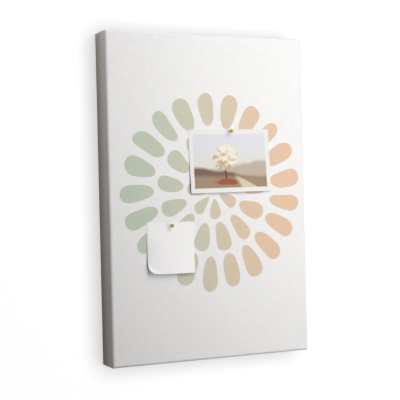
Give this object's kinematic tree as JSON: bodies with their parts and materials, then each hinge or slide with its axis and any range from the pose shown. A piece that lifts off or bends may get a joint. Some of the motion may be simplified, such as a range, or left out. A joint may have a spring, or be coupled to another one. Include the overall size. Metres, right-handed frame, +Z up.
{
  "type": "cork board",
  "caption": "Upright wall pin board: canvas stretched over cork on a mitred wooden frame, with a print and a note hung from ball-head pins and hinged hanger rings behind.",
  "frame": {"origin": "on the wall plane, behind the middle of the board: the plane of the wall pads' rear faces", "axes": "+Z up, +X to the right as seen from the front, -Y out of the pinning face and +Y into the wall"},
  "size_m": [0.4, 0.0726, 0.6],
  "materials": {
    "canvas": "matt primed cotton canvas with a printed design",
    "cork": "pressed cork granules",
    "hardboard": "smooth pressed hardboard",
    "pine": "planed bare pine",
    "zinc": "bright zinc plate",
    "staple_steel": "galvanised wire",
    "rubber": "matt black rubber",
    "brass": "polished brass",
    "needle_steel": "bright drawn steel",
    "photo_paper": "satin photograph paper with a white border",
    "note_paper": "plain white memo paper"
  },
  "bodies": {
    "board": {"canvas_wrap": "canvas", "cork_panel": "cork", "backing_board": "hardboard", "top_bar": "pine", "bottom_bar": "pine", "left_bar": "pine", "right_bar": "pine", "v_nail_top_left_outer": "zinc", "v_nail_top_left_inner": "zinc", "v_nail_top_right_outer": "zinc", "v_nail_top_right_inner": "zinc", "v_nail_bottom_left_outer": "zinc", "v_nail_bottom_left_inner": "zinc", "v_nail_bottom_right_outer": "zinc", "v_nail_bottom_right_inner": "zinc", "staple_top_1": "staple_steel", "staple_top_2": "staple_steel", "staple_top_3": "staple_steel", "staple_top_4": "staple_steel", "staple_top_5": "staple_steel", "staple_bottom_1": "staple_steel", "staple_bottom_2": "staple_steel", "staple_bottom_3": "staple_steel", "staple_bottom_4": "staple_steel", "staple_bottom_5": "staple_steel", "staple_left_1": "staple_steel", "staple_left_2": "staple_steel", "staple_left_3": "staple_steel", "staple_left_4": "staple_steel", "staple_left_5": "staple_steel", "staple_left_6": "staple_steel", "staple_left_7": "staple_steel", "staple_left_8": "staple_steel", "staple_right_1": "staple_steel", "staple_right_2": "staple_steel", "staple_right_3": "staple_steel", "staple_right_4": "staple_steel", "staple_right_5": "staple_steel", "staple_right_6": "staple_steel", "staple_right_7": "staple_steel", "staple_right_8": "staple_steel", "hanger_strap_left": "zinc", "hanger_strap_right": "zinc", "hanger_screw_left_1": "zinc", "hanger_screw_left_2": "zinc", "hanger_screw_right_1": "zinc", "hanger_screw_right_2": "zinc", "wall_pad_top_left": "rubber", "wall_pad_top_right": "rubber", "wall_pad_bottom_left": "rubber", "wall_pad_bottom_right": "rubber"},
    "photo_pin": {"photo_pin_head": "brass", "photo_pin_needle": "needle_steel"},
    "photo": {"photo_print": "photo_paper"},
    "note_pin": {"note_pin_head": "brass", "note_pin_needle": "needle_steel"},
    "note": {"note_sheet": "note_paper"},
    "left_ring": {"hanger_ring_left": "zinc"},
    "right_ring": {"hanger_ring_right": "zinc"}
  },
  "joints": [
    {"name": "photo_pin_pull", "type": "slide", "parent": "board", "child": "photo_pin", "axis": [0, -1, 0], "range_m": [0, 0.012]},
    {"name": "note_pin_pull", "type": "slide", "parent": "board", "child": "note_pin", "axis": [0, -1, 0], "range_m": [0, 0.012]},
    {"name": "photo_turn", "type": "hinge", "parent": "photo_pin", "child": "photo", "pos_m": [0.0405, -0.058, 0.121], "axis": [0, -1, 0], "continuous": true},
    {"name": "note_turn", "type": "hinge", "parent": "note_pin", "child": "note", "pos_m": [-0.0837, -0.058, -0.0507], "axis": [0, -1, 0], "range_deg": [-150, 75]},
    {"name": "left_ring_swing", "type": "hinge", "parent": "board", "child": "left_ring", "pos_m": [-0.169, -0.0033, 0.21], "axis": [-1, 0, 0], "range_deg": [0, 180]},
    {"name": "right_ring_swing", "type": "hinge", "parent": "board", "child": "right_ring", "pos_m": [0.169, -0.0033, 0.21], "axis": [-1, 0, 0], "range_deg": [0, 180]}
  ]
}
